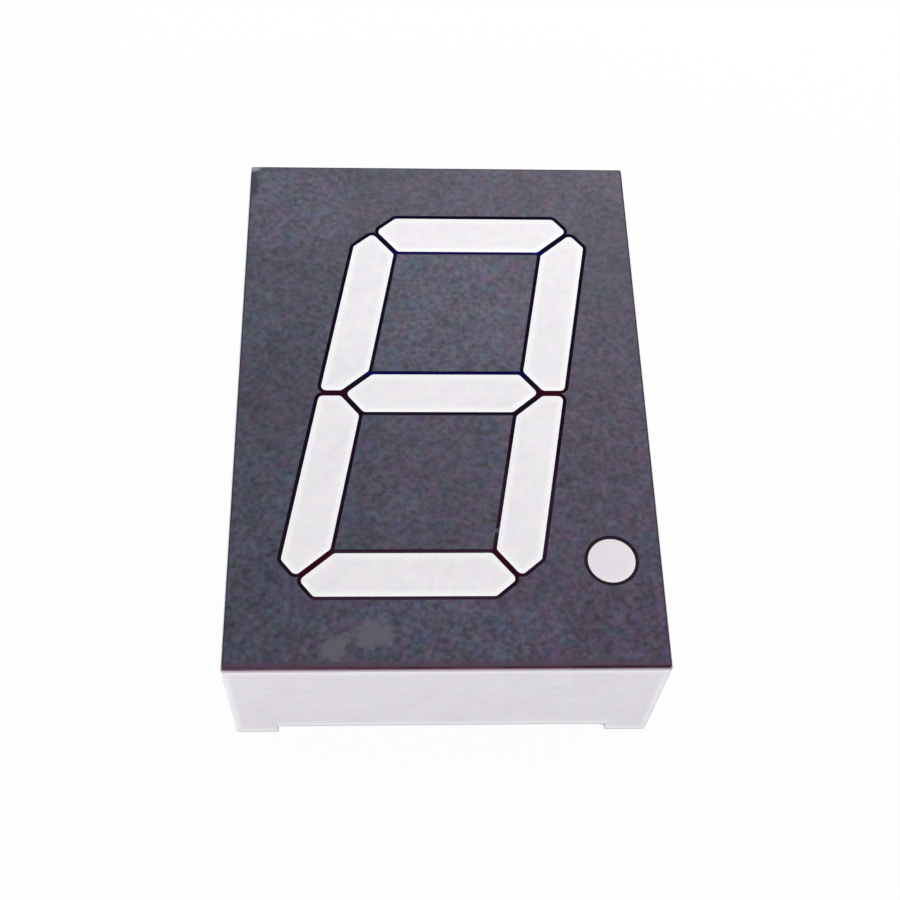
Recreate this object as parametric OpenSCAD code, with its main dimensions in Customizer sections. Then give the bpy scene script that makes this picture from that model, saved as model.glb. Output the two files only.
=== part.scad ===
// Single-digit seven segment display, lying face up, in millimetres.
// The origin lies under the centre of the case, on the plane of the pin tips.
// +X is the figure's right, +Y is its top and +Z points out of the face.
//
// From the back to the face: pins, cast back, circuit board with its LED dies,
// light wells filled with white epoxy bars, black mask, dark grey face sheet.

/* [Case] */
// Width of the case, across the figure
case_w = 28.2; // [26:0.1:34]
// Length of the case, along the figure
case_l = 40.4; // [39:0.1:46]
// Height of the case, from its feet to the face
case_h = 11.5; // [9:0.1:16]
// Thickness of the side walls
wall_t = 1.2; // [0.8:0.1:1.6]
// Thickness of the moulded front between the light wells
front_t = 1.2; // [0.6:0.1:2]
// Radius of the four upright corners
corner_r = 0.25; // [0.15:0.05:1]
// Radius of the corners inside the walls
hollow_r = 0.4; // [0.1:0.1:1]
// Bevel around the top edge of the case
top_bevel = 0.1; // [0.05:0.05:0.4]

/* [Feet] */
// Height of the four corner feet
foot_h = 1.1; // [0.5:0.1:2]
// Length of a foot along the bottom and top walls
foot_w = 2.9; // [1.5:0.1:5]
// Length of a foot along the left and right walls
foot_l = 2.9; // [1.5:0.1:5]
// Fillet where the two left-hand feet leave the wall's edge
foot_fillet_left = 0.2; // [0.1:0.05:0.4]
// Fillet where the two right-hand feet leave the wall's edge
foot_fillet_right = 0.8; // [0.1:0.05:0.9]

/* [Figure] */
// Height of the figure
figure_h = 30.48; // [26:0.1:32]
// Width of the figure, measured before it is slanted
figure_w = 16.85; // [14:0.05:18]
// Lean of the figure to the right, in degrees
slant = 9.8; // [0:0.1:12]
// Width of a light bar
stroke = 3.04; // [2:0.02:3.6]
// Gap between the upper and the lower bar at each side
bar_gap = 0.44; // [0.2:0.01:0.5]
// Gap between two bars across their mitred ends
mitre_gap = 0.39; // [0.2:0.01:0.5]
// How much of each outer corner of the figure is cut off, along each side
corner_cut = 2.6; // [1:0.1:3]
// Radius of the corners of a light bar at the face
window_r = 0.35; // [0.1:0.05:0.5]
// Diameter of the decimal point
point_d = 3.1; // [2:0.02:4]
// Distance of the decimal point to the right of the case's centre
point_x = 10.76; // [10:0.02:11.2]
// Distance of the decimal point below the case's centre
point_y = 12.78; // [10:0.02:15]

/* [Face] */
// Thickness of the black mask
mask_t = 0.2; // [0.1:0.05:0.5]
// Thickness of the grey face sheet
sheet_t = 0.04; // [0.03:0.01:0.2]
// Width of black mask left showing around the light bars
outline_w = 0.26; // [0.2:0.01:0.4]
// Width of black mask left showing around the decimal point
point_outline_w = 0.24; // [0.15:0.01:0.4]
// Width of black mask left showing along the edge of the face
rim_w = 0.1; // [0.04:0.01:0.3]

/* [Light wells] */
// How much each wall of a well leans in between the face and the board
well_taper = 0.7; // [0.2:0.1:0.9]
// Thickness of the moulded wall around a well, at the face
well_wall = 0.9; // [0.6:0.1:1.2]

/* [Board and dies] */
// Thickness of the circuit board
board_t = 1; // [0.6:0.1:1.6]
// Clearance between the board and the walls
board_clear = 0.1; // [0.05:0.05:0.3]
// Side of a square LED die
die_w = 0.3; // [0.2:0.05:0.4]
// Height of an LED die
die_h = 0.25; // [0.15:0.05:0.4]
// Distance between the two dies under one bar
die_pitch = 6.4; // [4:0.1:7]
// Thickness of a bond wire
wire_d = 0.04; // [0.03:0.01:0.08]
// Distance that a bond wire spans
wire_span = 0.9; // [0.6:0.1:1.2]
// Clearance around a die and its wire inside the cast bar
pocket_clear = 0.1; // [0.05:0.05:0.2]

/* [Pins and back] */
// Diameter of a pin
pin_d = 0.5; // [0.4:0.05:0.7]
// How much thicker a pin's shank is than the pin, all around
shank_step = 0.1; // [0.05:0.05:0.2]
// How much of a pin's shank shows outside its collar of epoxy
shank_show = 0.1; // [0.05:0.05:0.5]
// Distance between neighbouring pins in a row
pin_pitch = 2.54; // [2:0.01:2.6]
// Distance between the two rows of pins
row_gap = 35.56; // [35:0.01:36.4]
// How far the pins reach below the feet
pin_below = 4.4; // [2:0.1:8]
// How far a pin stands above the board
pin_head = 0.5; // [0.2:0.1:1]
// Length of the taper at a pin's tip
tip_l = 0.3; // [0.1:0.1:0.6]
// Clearance between a pin's shank and its hole in the board
hole_clear = 0.1; // [0.05:0.05:0.2]
// Radius of a solder fillet where it meets the board
solder_r = 0.75; // [0.6:0.05:1]
// Height of a solder fillet
solder_h = 0.6; // [0.3:0.1:1]
// Thickness of the epoxy cast over the board's back
epoxy_t = 1.8; // [1.4:0.1:2.4]
// Depth of the epoxy's surface inside the wall's edge
epoxy_recess = 0.4; // [0.2:0.1:1]
// Radius of the collar of epoxy that climbs a pin
collar_r = 0.7; // [0.5:0.05:0.9]
// Height of the collar of epoxy that climbs a pin
collar_h = 0.3; // [0.1:0.05:0.6]

/* [Hidden] */
$fn = 48;
BARS = ["a", "b", "c", "d", "e", "f", "g"];
DIES = concat([for (b = BARS) for (k = ["1", "2"]) str(b, k)], ["dp"]);
PINS_PER_ROW = 5;
PIN_COUNT = 2 * PINS_PER_ROW;

CASE_COLOUR = "#dfdbe2";
SHEET_COLOUR = "#5b596a";
MASK_COLOUR = "#131217";
BAR_COLOUR = "#efebef";
BOARD_COLOUR = "#46703f";
DIE_COLOUR = "#8b8f63";
GOLD_COLOUR = "#d8b04a";
TIN_COLOUR = "#b9bcc0";
EPOXY_COLOUR = "#d9d6cf";

// Heights of the layers, from the pin tips up
z_feet = pin_below;
z_rim = z_feet + foot_h;
z_epoxy = z_rim + epoxy_recess;
z_board = z_epoxy + epoxy_t;
z_wells = z_board + board_t;
z_face = z_feet + case_h;
z_mask = z_face - sheet_t;
z_front = z_mask - mask_t;
z_hollow = z_front - front_t;

// The shank of a pin, held by the board and the epoxy
shank_r = pin_d / 2 + shank_step;
hole_r = shank_r + hole_clear;
z_shank = z_epoxy - collar_h - shank_show;

// The thin end of a solder fillet or a collar, and how fast a fillet widens
fillet_r = shank_r + hole_clear / 2;
solder_slope = (solder_r - fillet_r) / solder_h;

// Places in the upright figure, from its centre
half_w = figure_w / 2;
half_h = figure_h / 2;
point_at = [point_x, -point_y];
die_row = (half_h - stroke / 2) / 2;

// How far a cutter runs past what it cuts
OVER = 0.5;
// Share of a well's corner radius that is lost on the way down to the board
CORNER_LOSS = 0.8;
// Straight pieces in a quarter of a rounded corner
CORNER_STEPS = 6;
SMALLEST_R = 0.02;

// ---- outlines ----

// A rectangle on the origin with round corners, counter-clockwise
function rounded_rect(w, l, r) = [
    for (q = [0 : 3]) for (s = [0 : CORNER_STEPS])
        let (turn = 90 * (q + s / CORNER_STEPS))
        let (sx = (q == 0 || q == 3) ? 1 : -1)
        let (sy = q < 2 ? 1 : -1)
        [sx * (w / 2 - r) + r * cos(turn), sy * (l / 2 - r) + r * sin(turn)]
];

// Leans upright points to the right by the figure's slant
function slanted(points) = [for (p = points) [p[0] + p[1] * tan(slant), p[1]]];

// Mirrors points about the axes, and keeps them counter-clockwise
function mirrored(points, sx, sy) =
    let (last = len(points) - 1)
    [for (i = [0 : last])
        let (p = points[sx * sy > 0 ? i : last - i])
        [sx * p[0], sy * p[1]]];

// The inward normal of the edge that starts at point i
function inward(points, i) =
    let (p = points[i], q = points[(i + 1) % len(points)])
    [p[1] - q[1], q[0] - p[0]] / norm(q - p);

// Moves every edge of a convex outline inwards by d, or outwards if d is negative
function inset(points, d) =
    let (n = len(points))
    [for (i = [0 : n - 1])
        let (u = inward(points, (i + n - 1) % n), v = inward(points, i))
        points[i] + d * (u + v) / (1 + u * v)];

// Puts an arc of radius r in each corner of a convex outline
function rounded(points, r) =
    let (n = len(points), centres = inset(points, r))
    [for (i = [0 : n - 1]) for (s = [0 : CORNER_STEPS])
        let (u = inward(points, (i + n - 1) % n), v = inward(points, i))
        let (turn = atan2(-u[1], -u[0]) + acos(u * v) * s / CORNER_STEPS)
        centres[i] + r * [cos(turn), sin(turn)]];

// How far a mitred end stands back along the upright figure, to leave half the gap once slanted.
// It is more where the mitre rises to the right (lean 1) than where it falls (lean -1).
function stand_back(lean) = mitre_gap / 2 * norm([1 + lean * tan(slant), 1]);

// One end of the top bar, for a mitre of that lean: its inner corner, its tip and its outer corner
function top_end(lean) =
    let (k = half_h - half_w + stand_back(lean))
    let (cut_line = half_w + half_h - corner_cut)
    [
        [half_h - stroke - k, half_h - stroke],
        [(cut_line - k) / 2, (cut_line + k) / 2],
        [half_w - corner_cut, half_h]
    ];

// The top bar: its ends are mitred at 45 degrees and its outer corners are cut
function top_bar(lean) = concat(top_end(lean), mirrored(top_end(-lean), -1, 1));

// The upper right bar, for a mitre of that lean at the top bar
function side_bar(lean) =
    let (k = half_h - half_w - stand_back(lean))
    let (cut_line = half_w + half_h - corner_cut)
    let (back = stand_back(-lean))
    [
        [half_w, bar_gap / 2],
        [half_w, half_h - corner_cut],
        [(cut_line - k) / 2, (cut_line + k) / 2],
        [half_w - stroke, half_w - stroke + k],
        [half_w - stroke, stroke / 2 + back],
        [half_w - stroke / 2 + back - bar_gap / 2, bar_gap / 2]
    ];

// The right end of the middle bar: its lower shoulder, its tip and its upper shoulder
function middle_end() =
    let (below = half_w - stroke / 2 - stand_back(1), above = half_w - stroke / 2 - stand_back(-1))
    [
        [below - stroke / 2, -stroke / 2],
        [(above + below) / 2, (above - below) / 2],
        [above - stroke / 2, stroke / 2]
    ];

// The middle bar, pointed at both ends
function middle_bar() = concat(middle_end(), mirrored(middle_end(), -1, -1));

// The slanted outline of the bar with index i in BARS
function bar_outline(i) = slanted(
    i == 0 ? top_bar(1) :
    i == 1 ? side_bar(1) :
    i == 2 ? mirrored(side_bar(-1), 1, -1) :
    i == 3 ? mirrored(top_bar(-1), 1, -1) :
    i == 4 ? mirrored(side_bar(1), -1, -1) :
    i == 5 ? mirrored(side_bar(-1), -1, 1) :
    middle_bar()
);

// The slanted outline around the whole figure
function figure_outline() =
    let (w = half_w, h = half_h, c = corner_cut)
    slanted([
        [w, c - h], [w, h - c], [w - c, h], [c - w, h],
        [-w, h - c], [-w, c - h], [c - w, -h], [w - c, -h]
    ]);

// The slanted outline of the field enclosed by the upper bars (side 1) or the lower bars (side -1)
function counter_outline(side) =
    let (x = half_w - stroke, low = stroke / 2, high = half_h - stroke)
    slanted(mirrored([[-x, low], [x, low], [x, high], [-x, high]], 1, side));

// Where die k stands, with the direction of the bar that it lights
function die_spot(k) =
    let (bar = floor(k / 2), along = (k % 2 == 0 ? -1 : 1) * die_pitch / 2)
    let (upright = bar == 1 || bar == 2 || bar == 4 || bar == 5)
    let (side = bar < 3 ? 1 : -1, level = (bar == 2 || bar == 3 || bar == 4) ? -1 : 1)
    k == len(DIES) - 1 ? concat(point_at - [wire_span / 2, 0], 0) :
    upright ? concat(slanted([[side * (half_w - stroke / 2), level * die_row + along]])[0], 90 - slant) :
    bar == 6 ? [along, 0, 0] :
    concat(slanted([[along, level * (half_h - stroke / 2)]])[0], 0);

// Pins run left to right along the bottom row, then right to left along the top row
function pin_spot(n) =
    let (middle = (PINS_PER_ROW + 1) / 2)
    n <= PINS_PER_ROW ? [(n - middle) * pin_pitch, -row_gap / 2] :
    [(PINS_PER_ROW + middle - n) * pin_pitch, row_gap / 2];

// How deep height z lies in a well: 0 at the front, 1 at the board
function depth(z) = (z_front - z) / (z_front - z_wells);

// The outline of bar i's well at height z: towards the board it narrows and its corners sharpen
function well_outline(i, z) = rounded(
    inset(bar_outline(i), well_taper * depth(z)),
    window_r * (1 - CORNER_LOSS * depth(z))
);

// The radius of the decimal point's well at height z
function point_r(z) = point_d / 2 - well_taper * depth(z);

// ---- shared solids ----

// A solid through outlines of as many points each, given as [points, height] from the bottom up
module loft(levels) {
    n = len(levels[0][0]);
    rings = len(levels);
    polyhedron(
        points = [for (level = levels) for (p = level[0]) [p[0], p[1], level[1]]],
        faces = concat(
            [[for (i = [0 : n - 1]) i]],
            [for (k = [0 : rings - 2]) for (i = [0 : n - 1])
                let (a = k * n + i, b = k * n + (i + 1) % n)
                [a, a + n, b + n, b]],
            [[for (i = [n - 1 : -1 : 0]) (rings - 1) * n + i]]
        )
    );
}

// A prism over an outline, between two heights
module prism(points, low, high) {
    translate([0, 0, low])
        linear_extrude(high - low)
            polygon(points);
}

// A round bar between two heights, with a radius at each
module round_bar(low, high, r_low, r_high) {
    translate([0, 0, low])
        cylinder(h = high - low, r1 = r_low, r2 = r_high);
}

// The tapered space of a light well, run past both of its ends
module well(i) {
    low = z_wells - OVER;
    high = z_front + OVER;
    loft([[well_outline(i, low), low], [well_outline(i, high), high]]);
}

// The space between the feet of one wall: length x, with a fillet at each upper corner
module notch(length, fillet_low, fillet_high) {
    half = length / 2;
    arc_low = [for (s = [0 : CORNER_STEPS])
        let (turn = 90 + 90 * s / CORNER_STEPS)
        [fillet_low * (1 + cos(turn)) - half, foot_h - fillet_low * (1 - sin(turn))]];
    arc_high = [for (s = [0 : CORNER_STEPS])
        let (turn = 90 * s / CORNER_STEPS)
        [half - fillet_high * (1 - cos(turn)), foot_h - fillet_high * (1 - sin(turn))]];
    translate([0, 0, z_feet])
        rotate([90, 0, 0])
            linear_extrude(wall_t + 2 * OVER, center = true)
                polygon(concat([[half, -OVER]], arc_high, arc_low, [[-half, -OVER]]));
}

// The hollow in the cast bar for die k and its wire
module die_pocket(k) {
    spot = die_spot(k);
    reach = die_w / 2 + pocket_clear;
    top = die_h + wire_span / 2 + wire_d / 2 + pocket_clear;
    translate([spot[0], spot[1], z_wells - OVER])
        rotate([0, 0, spot[2]])
            translate([-reach, -reach, 0])
                cube([reach + wire_span + wire_d / 2 + pocket_clear, 2 * reach, top + OVER]);
}

// Puts its children at every pin
module at_pins() {
    for (n = [1 : PIN_COUNT])
        translate(pin_spot(n))
            children();
}

// ---- pieces ----

// The moulded case: walls, front, light wells and feet
module housing() {
    color(CASE_COLOUR)
        difference() {
            union() {
                difference() {
                    case_block();
                    prism(rounded_rect(case_w - 2 * wall_t, case_l - 2 * wall_t, hollow_r),
                        z_feet - OVER, z_hollow);
                    foot_notches();
                }
                well_walls();
            }
            for (i = [0 : len(BARS) - 1])
                well(i);
            translate(point_at)
                round_bar(z_wells - OVER, z_front + OVER,
                    point_r(z_wells - OVER), point_r(z_front + OVER));
            at_pins()
                round_bar(z_wells - OVER, z_wells + pin_head + hole_clear, hole_r, hole_r);
        }
}

module case_block() {
    shoulder = z_front - top_bevel;
    body = rounded_rect(case_w, case_l, corner_r);
    prism(body, z_feet, shoulder);
    loft([[body, shoulder], [face_edge(0), z_front]]);
}

// The edge of the face, inside the bevel, moved in by a further d
function face_edge(d) = rounded_rect(
    case_w - 2 * (top_bevel + d), case_l - 2 * (top_bevel + d),
    max(corner_r - top_bevel - d, SMALLEST_R)
);

module foot_notches() {
    for (side = [-1, 1]) {
        translate([0, side * (case_l - wall_t) / 2, 0])
            notch(case_w - 2 * foot_w, foot_fillet_left, foot_fillet_right);
        translate([side * (case_w - wall_t) / 2, 0, 0])
            rotate([0, 0, 90])
                notch(case_l - 2 * foot_l,
                    side < 0 ? foot_fillet_left : foot_fillet_right,
                    side < 0 ? foot_fillet_left : foot_fillet_right);
    }
}

// The walls around the wells, from the board up into the front
module well_walls() {
    top = z_hollow + front_t / 2;
    difference() {
        prism(inset(figure_outline(), -well_wall), z_wells, top);
        for (side = [-1, 1])
            prism(inset(counter_outline(side), well_wall), z_wells - OVER, top + OVER);
    }
    translate(point_at)
        round_bar(z_wells, top, point_d / 2 + well_wall, point_d / 2 + well_wall);
}

// The black mask under the face sheet, with a window for each lit area
module face_mask() {
    color(MASK_COLOUR)
        difference() {
            prism(face_edge(0), z_front, z_mask);
            for (i = [0 : len(BARS) - 1])
                prism(well_outline(i, z_front), z_front - OVER, z_mask + OVER);
            translate(point_at)
                round_bar(z_front - OVER, z_mask + OVER, point_d / 2, point_d / 2);
        }
}

// The grey sheet around the figure, drawn in where two bars meet
module face_sheet() {
    color(SHEET_COLOUR)
        difference() {
            prism(face_edge(rim_w), z_mask, z_face);
            for (i = [0 : len(BARS) - 1])
                prism(rounded(inset(bar_outline(i), -outline_w), window_r + outline_w),
                    z_mask - OVER, z_face + OVER);
            prism(inset(figure_outline(), stroke / 2 - bar_gap), z_mask - OVER, z_face + OVER);
            translate(point_at)
                round_bar(z_mask - OVER, z_face + OVER,
                    point_d / 2 + point_outline_w, point_d / 2 + point_outline_w);
        }
}

// The grey sheet inside the figure: side 1 for the upper field, -1 for the lower one
module counter(side) {
    color(SHEET_COLOUR)
        prism(inset(counter_outline(side), outline_w), z_mask, z_face);
}

// A light bar: epoxy cast in its well and in the mask's window
module bar(i) {
    window = well_outline(i, z_front);
    color(BAR_COLOUR)
        difference() {
            loft([[well_outline(i, z_wells), z_wells], [window, z_front], [window, z_mask]]);
            die_pocket(2 * i);
            die_pocket(2 * i + 1);
        }
}

module decimal_point() {
    color(BAR_COLOUR)
        difference() {
            translate(point_at)
                union() {
                    round_bar(z_wells, z_front, point_r(z_wells), point_r(z_front));
                    round_bar(z_front, z_mask, point_d / 2, point_d / 2);
                }
            die_pocket(len(DIES) - 1);
        }
}

module circuit_board() {
    side = wall_t + board_clear;
    color(BOARD_COLOUR)
        difference() {
            prism(rounded_rect(case_w - 2 * side, case_l - 2 * side, hollow_r), z_board, z_wells);
            at_pins()
                round_bar(z_board - OVER, z_wells + OVER, hole_r, hole_r);
        }
}

// An LED die, standing on the board
module chip(k) {
    spot = die_spot(k);
    color(DIE_COLOUR)
        translate([spot[0], spot[1], z_wells])
            rotate([0, 0, spot[2]])
                translate([-die_w / 2, -die_w / 2, 0])
                    cube([die_w, die_w, die_h]);
}

// A bond wire: half a ring from the top of its die, and a leg down to the board
module wire(k) {
    spot = die_spot(k);
    color(GOLD_COLOUR)
        translate([spot[0], spot[1], z_wells])
            rotate([0, 0, spot[2]]) {
                translate([wire_span / 2, 0, die_h])
                    rotate([90, 0, 0])
                        rotate_extrude(angle = 180)
                            translate([wire_span / 2, 0])
                                circle(d = wire_d);
                translate([wire_span, 0, 0])
                    cylinder(h = die_h, d = wire_d);
            }
}

// The ten solder fillets, on the back of the board
module solder_joints() {
    color(TIN_COLOUR)
        at_pins()
            difference() {
                round_bar(z_board - solder_h, z_board, fillet_r, solder_r);
                pin_space();
            }
}

// The shank of a pin, run past the board and the epoxy
module pin_space() {
    round_bar(z_shank, z_wells + OVER, shank_r, shank_r);
}

// The epoxy cast over the back of the board and around the pins
module back_epoxy() {
    color(EPOXY_COLOUR)
        difference() {
            union() {
                prism(rounded_rect(case_w - 2 * wall_t, case_l - 2 * wall_t, hollow_r),
                    z_epoxy, z_board);
                at_pins()
                    round_bar(z_epoxy - collar_h, z_epoxy, fillet_r, collar_r);
            }
            at_pins()
                pin_space();
            at_pins()
                round_bar(z_board - solder_h, z_board + OVER,
                    fillet_r, solder_r + OVER * solder_slope);
        }
}

// A straight round pin with a tapered tip and a thicker shank
module pin(n) {
    color(TIN_COLOUR)
        translate(pin_spot(n)) {
            round_bar(0, tip_l, pin_d / 4, pin_d / 2);
            round_bar(tip_l, z_shank - shank_step, pin_d / 2, pin_d / 2);
            round_bar(z_shank - shank_step, z_shank, pin_d / 2, shank_r);
            round_bar(z_shank, z_wells + pin_head, shank_r, shank_r);
        }
}

// ---- nodes ----

housing();
face_mask();
face_sheet();
counter(1);  // upper_counter
counter(-1);  // lower_counter
for (i = [0 : len(BARS) - 1])
    bar(i);
decimal_point();
circuit_board();
for (k = [0 : len(DIES) - 1]) {
    chip(k);
    wire(k);
}
solder_joints();
back_epoxy();
for (n = [1 : PIN_COUNT])
    pin(n);
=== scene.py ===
# %% [markdown]
# # A seven segment display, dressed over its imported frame
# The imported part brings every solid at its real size, in metres, with +Z out of the face.
# This script adds what a solid can't hold: the dished surface of the cast epoxy, softened
# moulding edges, rounded pins, and the finishes. Each step is explained before its code.

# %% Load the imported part
import math

import bmesh
import bpy
import numpy as np
from mathutils import Matrix, Vector


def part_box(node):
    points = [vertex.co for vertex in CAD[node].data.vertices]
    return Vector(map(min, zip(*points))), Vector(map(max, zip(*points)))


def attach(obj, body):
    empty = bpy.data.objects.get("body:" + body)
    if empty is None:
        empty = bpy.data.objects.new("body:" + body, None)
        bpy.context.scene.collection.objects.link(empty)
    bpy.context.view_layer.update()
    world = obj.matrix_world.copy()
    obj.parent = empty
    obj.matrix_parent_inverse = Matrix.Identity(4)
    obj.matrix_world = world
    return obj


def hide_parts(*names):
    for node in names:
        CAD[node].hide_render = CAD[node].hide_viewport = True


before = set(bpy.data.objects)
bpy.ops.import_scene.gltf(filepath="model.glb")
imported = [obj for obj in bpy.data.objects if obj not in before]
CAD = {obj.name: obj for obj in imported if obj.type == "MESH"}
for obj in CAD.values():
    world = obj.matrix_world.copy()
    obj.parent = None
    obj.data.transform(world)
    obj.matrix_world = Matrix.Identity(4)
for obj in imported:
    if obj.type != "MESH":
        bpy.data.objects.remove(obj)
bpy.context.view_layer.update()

MM = 0.001
MICRON = 0.001 * MM

# %% [markdown]
# ## Places, read from the frame
# No piece is placed by eye. The heights of the face, the mask, the wells and the epoxy are the
# highest or lowest corners of the nodes that carry them, so a new pack moves the looks along.

# %% Read heights and widths from the frame
def corners(node):
    """The lowest and the highest corner of a CAD node, as two arrays in metres."""
    return tuple(np.array(p, float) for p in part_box(node))


case_low, case_high = corners("housing")
z_face = corners("face_sheet")[1][2]
z_mask = corners("face_mask")[1][2]
z_front = case_high[2]
z_wells = corners("circuit_board")[1][2]
epoxy_low, epoxy_high = corners("back_epoxy")
FACE_MIDDLE = Vector((0, 0, z_face))
print("face at %.2f mm, mask at %.2f, wells from %.2f" % (z_face / MM, z_mask / MM, z_wells / MM))

# %% [markdown]
# ## The camera
# The display lies on its back and is seen from above its foot, about 97 mm away, which gives
# the strong narrowing towards the top. The camera is aimed at a point on the face, then
# turned slightly about its own line of sight, as a hand-held camera would be. A constraint
# could aim it too, but one matrix is plain to read and nothing can move it later.

# %% Make the camera
AIM = FACE_MIDDLE + Vector((0.443, -4.539, 0)) * MM
LOOK = Vector((0.04371, 0.49768, -0.86626)).normalized()
DISTANCE = 96.79 * MM
ROLL = math.radians(4.38)
LENS_MM = 57.505
SENSOR_MM = 36
NEAREST, FARTHEST = 0.001, 20

camera_data = bpy.data.cameras.new("camera")
camera_data.lens = LENS_MM
camera_data.sensor_width = SENSOR_MM
camera_data.clip_start = NEAREST
camera_data.clip_end = FARTHEST
camera = bpy.data.objects.new("camera", camera_data)
bpy.context.scene.collection.objects.link(camera)
turn = LOOK.to_track_quat("-Z", "Y").to_matrix().to_4x4()
camera.matrix_world = Matrix.Translation(AIM - LOOK * DISTANCE) @ turn @ Matrix.Rotation(ROLL, 4, "Z")
bpy.context.scene.camera = camera
print("camera at", [round(c / MM, 1) for c in camera.matrix_world.translation], "mm")

# %% [markdown]
# ## Meshes from arrays
# A new piece is a grid of points: rows follow a profile, columns follow an outline. Working
# the whole grid out with numpy keeps each formula in one line. One helper makes a mesh, and
# one lists a grid's faces, which point outwards when the rows climb and the columns run
# counter-clockwise.

# %% Helpers that turn grids into meshes
SMOOTH_UP_TO = math.radians(35)


def make_piece(name, points, faces, rim_highlight=None):
    """A mesh object from an (n, 3) array of points and a list of faces, shaded smooth up to an angle."""
    mesh = bpy.data.meshes.new(name)
    mesh.from_pydata(points.tolist(), [], faces)
    mesh.update()
    if rim_highlight is not None:
        layer = mesh.attributes.new("rim_highlight", "FLOAT", "POINT")
        layer.data.foreach_set("value", np.asarray(rim_highlight, np.float32))
    mesh.shade_smooth()
    mesh.set_sharp_from_angle(angle=SMOOTH_UP_TO)
    piece = bpy.data.objects.new(name, mesh)
    bpy.context.scene.collection.objects.link(piece)
    return piece


def ring_faces(rows, columns):
    """Quads between neighbouring rings of a grid, with a flat cap on the first and the last ring."""
    start = np.arange(rows - 1)[:, None] * columns
    column = np.arange(columns)[None, :]
    after = (column + 1) % columns
    quads = np.stack([start + column, start + after, start + columns + after, start + columns + column], -1)
    last = (rows - 1) * columns
    caps = [list(range(columns - 1, -1, -1)), list(range(last, last + columns))]
    return quads.reshape(-1, 4).tolist() + caps


print("grids become smooth meshes, with creases from %.0f degrees" % math.degrees(SMOOTH_UP_TO))

# %% [markdown]
# ## Outlines of the light windows
# Each light bar fills a six-sided window with round corners. Its outline is read from the
# highest flat of the CAD bar. The six long edges, run on until they meet, give sharp corners,
# and how far the arcs begin before a corner gives their radius.

# %% Outlines: read and sharpen
LONG_EDGE = 0.3 * MM
MICRON_DIGITS = 6


def top_outline(node):
    """The corners of a node's highest flat, sorted by their angle about their mean."""
    mesh = CAD[node].data
    points = np.empty(len(mesh.vertices) * 3)
    mesh.vertices.foreach_get("co", points)
    points = points.reshape(-1, 3)
    flat = points[points[:, 2] > points[:, 2].max() - MICRON, :2]
    flat = np.unique(np.round(flat, MICRON_DIGITS), axis=0)
    spoke = flat - flat.mean(0)
    return flat[np.argsort(np.arctan2(spoke[:, 1], spoke[:, 0]))]


def sharp_corners(outline):
    """Where the long edges meet, and the radius: tangent length / tan(half the turn)."""
    edge = np.roll(outline, -1, axis=0) - outline
    length = np.linalg.norm(edge, axis=1)
    keep = length > LONG_EDGE
    start, end, along = outline[keep], np.roll(outline, -1, axis=0)[keep], (edge / length[:, None])[keep]
    before, arc_start = np.roll(along, 1, axis=0), np.roll(end, 1, axis=0)
    gap = start - arc_start
    cross = before[:, 0] * along[:, 1] - before[:, 1] * along[:, 0]
    run = (gap[:, 0] * along[:, 1] - gap[:, 1] * along[:, 0]) / cross
    radius = run / np.tan(np.arctan2(cross, (before * along).sum(1)) / 2)
    return arc_start + before * run[:, None], float(np.median(radius))


for letter in "abg":
    corner_points, corner_radius = sharp_corners(top_outline("bar_" + letter))
    print("bar", letter, "has", len(corner_points), "long edges, radius %.3f mm" % (corner_radius / MM))

# %% [markdown]
# ## Smaller copies of an outline
# A bar is lofted through rings that lie further and further inside its outline. Scaling the
# outline would move its long and short edges by different amounts, so each edge is moved
# inwards by the same distance instead, and the corners are rounded again afterwards.

# %% Outlines: move inwards and round
ARC_POINTS = 13


def inset(outline, distance):
    """Moves each edge inwards: corner + distance * (u + v) / (1 + u.v), for inward normals u and v."""
    along = np.roll(outline, -1, axis=0) - outline
    along /= np.linalg.norm(along, axis=1)[:, None]
    v = np.stack([-along[:, 1], along[:, 0]], -1)
    u = np.roll(v, 1, axis=0)
    return outline + distance * (u + v) / (1 + (u * v).sum(1))[:, None]


def rounded(outline, radius):
    """An arc in each corner: centre + radius * (cos, sin), from one edge's outward normal to the next."""
    along = np.roll(outline, -1, axis=0) - outline
    after = np.arctan2(-along[:, 0], along[:, 1])
    before = np.roll(after, 1)
    turn = (after - before) % (2 * np.pi)
    angle = before[:, None] + turn[:, None] * np.linspace(0, 1, ARC_POINTS)[None, :]
    centre = inset(outline, radius)
    arc = np.stack([np.cos(angle), np.sin(angle)], -1)
    return (centre[:, None, :] + radius * arc).reshape(-1, 2)


print("points on each ring of bar g:", len(rounded(corner_points, corner_radius)))

# %% [markdown]
# ## The cast light bars
# White epoxy is poured into each well from behind, against a tape over the front. It shrinks
# as it cures, so its surface dips a few hundredths of a millimetre away from the walls and
# catches the light along its rim. A bevel and a sculpted dent would come near, but a profile
# gives the dip its real depth: it follows 1 - exp(-distance / reach). A value stored on each
# point, exp(-(distance / reach) ** 4), says how much of it is rim, where the finish paints a
# highlight. The side leans in towards the board, as the draft of a moulded well does.

# %% The rings of a cast light
DIP = 0.045 * MM
DIP_REACH = 0.22 * MM
RIM_REACH = 0.38 * MM
DRAFT = 0.7 * MM
RIM_STEPS = np.array([0, 0.015, 0.04, 0.08, 0.13, 0.2, 0.27, 0.34, 0.42, 0.5, 0.65, 0.9]) * MM


def cast_rings():
    """Inset, height and rim highlight weight of each ring, from the board up the drafted side and over the
    dished top.
    """
    side_inset = np.array([DRAFT, 0.0])
    side_height = np.array([z_wells, z_front])
    dish = z_mask - DIP * (1 - np.exp(-RIM_STEPS / DIP_REACH))
    insets = np.concatenate([side_inset, RIM_STEPS])
    heights = np.concatenate([side_height, dish])
    rim_highlight = np.concatenate([[0, 0], np.exp(-(RIM_STEPS / RIM_REACH) ** 4)])
    return insets, heights, rim_highlight


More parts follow.
